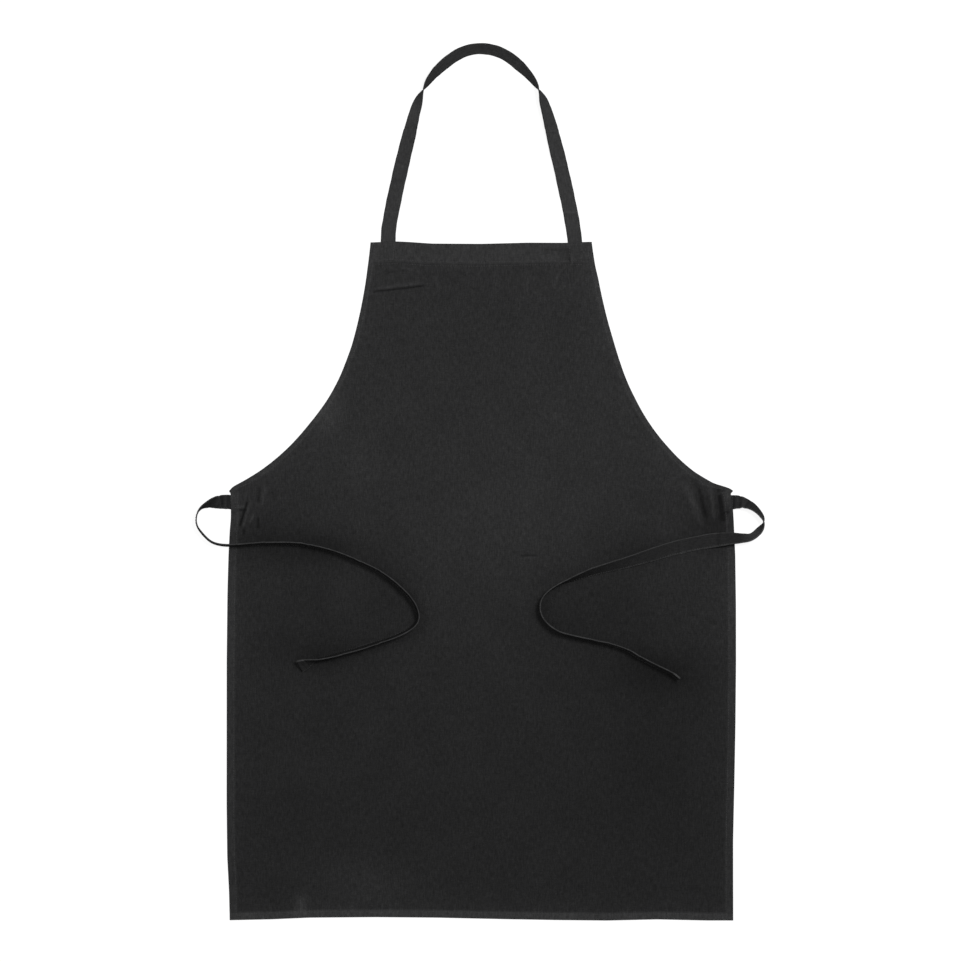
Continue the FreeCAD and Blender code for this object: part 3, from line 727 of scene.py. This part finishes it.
def tape_line(name, route):
    """The line that a tape follows, read from its route's NURBS spline, and the tape's roll along it."""
    route = np.array(route)
    curve = bpy.data.curves.new(name, "CURVE")
    curve.dimensions, curve.resolution_u = "3D", 16
    spline = curve.splines.new("NURBS")
    spline.points.add(len(route) - 1)
    for point, (x, y, low, _) in zip(spline.points, route):
        point.co = (x, y, low, 1)
    spline.order_u, spline.use_endpoint_u = 3, True
    holder = bpy.data.objects.new(name, curve)
    mesh = bpy.data.meshes.new_from_object(holder)
    line = np.array([v.co for v in mesh.vertices], float) / MM
    bpy.data.objects.remove(holder)
    bpy.data.curves.remove(curve)
    bpy.data.meshes.remove(mesh)
    long = np.concatenate([[0], np.cumsum(np.linalg.norm(np.diff(line[:, :2], axis=0), axis=1))])
    marks = [long[np.linalg.norm(line[:, :2] - p[:2] / MM, axis=1).argmin()] for p in route]
    marks[0], marks[-1] = long[0], long[-1]
    at = np.linspace(0, long[-1], int(long[-1] / 2.2))
    roll = np.radians(sum(np.interp(at + s, marks, route[:, 3]) for s in np.linspace(-6, 6, 9)) / 9)
    line = np.stack([np.interp(at, long, line[:, k]) for k in range(3)], -1)
    line[:, 2] += (TAPE * np.abs(np.sin(roll)) + TAPE_THICK * np.abs(np.cos(roll))) / 2
    return line, roll


def tape_axes(line, roll):
    """Directions along the tape, across its width, and out of its face."""
    ahead = np.gradient(line, axis=0)
    ahead /= np.linalg.norm(ahead, axis=1)[:, None]
    level = np.cross([0, 0, 1.0], ahead)
    level /= np.linalg.norm(level, axis=1)[:, None]
    up = np.cross(ahead, level)
    c, s = np.cos(roll)[:, None], np.sin(roll)[:, None]
    return ahead, level * c + up * s, up * c - level * s


def tape_mesh(
    name, line, roll, seed, width=TAPE, thick=TAPE_THICK, dents=10,
    face=0.16, back=0.14, edge=0.56, creases=(), paler_stretches=(),
):
    """Folded tape: rounded folds, a slightly bowed face, small cross creases and an uneven edge.

    face, back and edge say how pale those parts are: a darker back paints the shade where the back turns
    up, and the ties' pale edges paint the highlight where the folded top edge catches light. creases are
    (place, slant, depth) and paler stretches are (place, reach, gain), with places in millimetres along
    the tape.
    """
    local = np.random.default_rng(seed)
    _, wide, out = tape_axes(line, roll)
    long = np.concatenate([[0], np.cumsum(np.linalg.norm(np.diff(line, axis=0), axis=1))])
    a = np.array([0.0, 0.35, 0.72, 0.84, 0.93, 0.98, 1.0])
    b = np.array([0.80, 0.84, 0.92, 1.20, 1.35, 1.2, 0.75])
    a, b = np.concatenate([-a[:0:-1], a]), np.concatenate([b[:0:-1], b])
    shape_a, shape_b = np.concatenate([a, a[::-1]]), np.concatenate([b, -b[::-1]])
    half = width / 2 * (1 + 0.012 * np.sin(long / 7.0 + seed) + 0.010 * np.sin(long / 2.9 + 2 * seed))
    sway = 0.25 * np.sin(long / 23.0 + seed) + 0.15 * np.sin(long / 9.0 + 1.7 * seed)
    push = sway[:, None] + 0.18 * np.sin(long / 31.0 + seed)[:, None] * (1 - shape_a**2)[None, :]
    press = np.zeros_like(push)
    for place, slant, deep in zip(
        local.uniform(0, long[-1], dents), local.uniform(-5, 5, dents), local.uniform(-0.45, 0.45, dents)
    ):
        press += deep * np.exp(-(((long[:, None] - place + slant * shape_a[None, :]) / 2.4) ** 2))
    for place, slant, deep in creases:
        off = long[:, None] - place + slant * shape_a[None, :]
        press += deep * (np.exp(-((off / 1.3) ** 2)) - 0.7 * np.exp(-(((off - 3.2) / 1.8) ** 2)))
    push = push + press
    points = (
        line[:, None, :]
        + (half[:, None] * shape_a[None, :])[..., None] * wide[:, None, :]
        + (push + thick / 2 * shape_b[None, :])[..., None] * out[:, None, :]
    )
    rows, columns = points.shape[:2]
    faces = grid_faces(rows, columns, closed=True).tolist()
    last = (rows - 1) * columns
    faces += [list(range(columns))[::-1], [last + i for i in range(columns)]]
    uv = np.stack(np.broadcast_arrays(shape_a[None, :] * width / 2 + 40 * seed, long[:, None]), -1)
    wear_and_painted_light = np.where(np.abs(shape_a) > 0.9, edge, np.where(shape_b > 0, face, back))
    # Painted shade where a dent or crease sinks into a face, and paler where it stands out, partly
    # rubbing and partly painted light.
    wear_and_painted_light = wear_and_painted_light[None, :] + 0.22 * press * np.where(shape_b > 0, 1, -1)[None, :]
    for place, reach, gain in paler_stretches:
        wear_and_painted_light += gain * np.exp(-(((long[:, None] - place) / reach) ** 2))
    wear_and_painted_light = np.clip(wear_and_painted_light, 0.0, 1.2)
    item = new_object(name, points.reshape(-1, 3), faces, uv=uv.reshape(-1, 2), wear_and_painted_light=wear_and_painted_light.ravel())
    item.data.materials.append(tape_cotton)
    return item


def tape_seam(name, line, roll, inset=1.9, edge=1.0, first=4.0):
    """Stitches along one edge of a tape, on both of its faces."""
    ahead, wide, out = tape_axes(line, roll)
    long = np.concatenate([[0], np.cumsum(np.linalg.norm(np.diff(line, axis=0), axis=1))])
    at = np.arange(first, long[-1] - 3, STITCH_PITCH)
    pick = [
        np.stack([np.interp(at, long, v[:, k]) for k in range(3)], -1) for v in (line, ahead, wide, out)
    ]
    centre, along, across, face = (pick[0], *(v / np.linalg.norm(v, axis=1)[:, None] for v in pick[1:]))
    base = centre + across * edge * (TAPE / 2 - inset)
    lift = face * (TAPE_THICK / 2 - 0.02)
    places = np.concatenate([base + lift, base - lift])
    item = stitches(name, places, np.concatenate([along, along]), np.concatenate([face, -face]))
    return item


NECK_TAPE = 19.6  # width of the neck strap's tape


def make_neck_strap():
    """The strap from inside the top hem, over both half twists and the crown, and back."""
    crown = [(0.0, 0.5755, 0.0001, -125)]
    route = NECK_ROUTE + crown + [(-x, y, low, roll) for x, y, low, roll in reversed(NECK_ROUTE)]
    line, roll = tape_line("neck_route", route)
    line[:, 0] -= 0.7 * ease((line[:, 1] - TOP) / 20)  # past the hem the strap lies a little left
    end = np.linalg.norm(np.diff(line, axis=0), axis=1).sum()
    creases = [(63, 1.5, 0.5), (126, -1.0, 0.55), (174, 2.0, 0.4)]
    creases += [(end - place, -slant, deep) for place, slant, deep in creases]
    # The back is darker than the face: painted shade on the crown, where the back turns up.
    tape = tape_mesh(
        "neck_strap_tape", line, roll, 3, NECK_TAPE, dents=22,
        face=0.48, back=0.37, edge=0.36, creases=creases, paler_stretches=[(198, 18, 0.25)],
    )
    for item in (tape, tape_seam("neck_strap_stitches", line, roll, edge=-1.0)):
        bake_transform(item)
    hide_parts("neck_strap", "neck_strap_left_sewn_end", "neck_strap_right_sewn_end")


def make_tie(side, route, seed, edge, paler_stretches):
    """A waist tie as one length of tape, its stitching and its turned tip."""
    line, roll = tape_line(f"{side}_route", route)
    body = f"{side}_tie"
    way = -1 if side == "left" else 1
    root = np.array([[way * (SIDE_HALF - inset), TIE_Y, 0.9] for inset in (9.0, 6.0, 3.0)])
    line, roll = np.concatenate([root, line]), np.concatenate([np.zeros(3), roll])
    creases = [(10.5, 0.0, -0.8), (18.5, 1.5, -0.8), (25.0, -2.0, 0.5)]
    tape = tape_mesh(
        f"{side}_tie_tape", line, roll, seed, dents=24, creases=creases, paler_stretches=paler_stretches
    )
    sewing = tape_seam(f"{side}_tie_stitches", line, roll, edge=edge, first=12.0)
    for item in (tape, sewing):
        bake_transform(item)
    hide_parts(f"{side}_tie_loop", f"{side}_tie_tail", f"{side}_tie_sewn_end")
    # The tip's pale edge paints the highlight along its folded edges.
    tip = tape_mesh(
        f"{side}_tie_end", line[-6:] + [0, 0, 0.1], roll[-6:], seed + 9,
        width=TAPE + 0.3, thick=1.9, dents=0, edge=0.66,
    )
    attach(tip, body)
    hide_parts(f"{side}_tie_tip")


make_neck_strap()
make_tie("left", LEFT_TIE_ROUTE, 5, 1.0, [])
# The right tie's two paler stretches paint the light on the outer side of its loop, which turns to the
# lamp.
make_tie("right", RIGHT_TIE_ROUTE, 7, -1.0, [(55, 8, 0.2), (82, 13, 0.55)])


# ---- floor, light and camera ----


def floor():
    """A plain white floor that glows, so that it stays white, and that is clear from below."""
    bpy.ops.mesh.primitive_plane_add(size=14, location=(0, 0, -0.0002))
    plane = bpy.context.object
    plane.name = "floor"
    material = bpy.data.materials.new("floor_white")
    material.use_nodes = True
    tree = material.node_tree
    tree.nodes.clear()
    paint = node(tree, "ShaderNodeBsdfDiffuse", {"Color": (0.20, 0.20, 0.20, 1)})
    glow = node(tree, "ShaderNodeEmission", {"Color": (1, 1, 1, 1), "Strength": 0.88})
    both = node(tree, "ShaderNodeAddShader")
    sides = node(tree, "ShaderNodeMixShader")
    out = node(tree, "ShaderNodeOutputMaterial")
    tree.links.new(paint.outputs[0], both.inputs[0])
    tree.links.new(glow.outputs[0], both.inputs[1])
    tree.links.new(node(tree, "ShaderNodeNewGeometry").outputs["Backfacing"], sides.inputs[0])
    tree.links.new(both.outputs[0], sides.inputs[1])
    tree.links.new(node(tree, "ShaderNodeBsdfTransparent").outputs[0], sides.inputs[2])
    tree.links.new(sides.outputs[0], out.inputs["Surface"])
    plane.data.materials.append(material)


def lamp(name, place, aim, size, power):
    """A square soft box."""
    light = bpy.data.lights.new(name, "AREA")
    light.size, light.energy = size, power
    item = bpy.data.objects.new(name, light)
    item.location = place
    item.rotation_euler = (Vector(aim) - Vector(place)).to_track_quat("-Z", "Y").to_euler()
    bpy.context.scene.collection.objects.link(item)


floor()
world = bpy.data.worlds.new("studio")
world.use_nodes = True
world.node_tree.nodes["Background"].inputs["Color"].default_value = (1, 1, 1, 1)
world.node_tree.nodes["Background"].inputs["Strength"].default_value = 0.38
bpy.context.scene.world = world
lamp("key", (0.8, 0.6, 2.5), (0, 0, 0), 0.6, 46)
lamp("fill", (-1.3, 0.5, 2.2), (0, 0, 0), 0.7, 12)

bpy.context.scene.view_settings.view_transform = "Standard"
CAMERA_HEIGHT, SEEN_WIDTH, SENSOR = 3.2, 1.2808, 36.0
camera = bpy.data.objects.new("camera", bpy.data.cameras.new("camera"))
camera.location = (-0.0007, -0.0003, CAMERA_HEIGHT)
camera.data.sensor_width = SENSOR
camera.data.lens = SENSOR * CAMERA_HEIGHT / SEEN_WIDTH
bpy.context.scene.collection.objects.link(camera)
bpy.context.scene.camera = camera

bpy.context.view_layer.update()
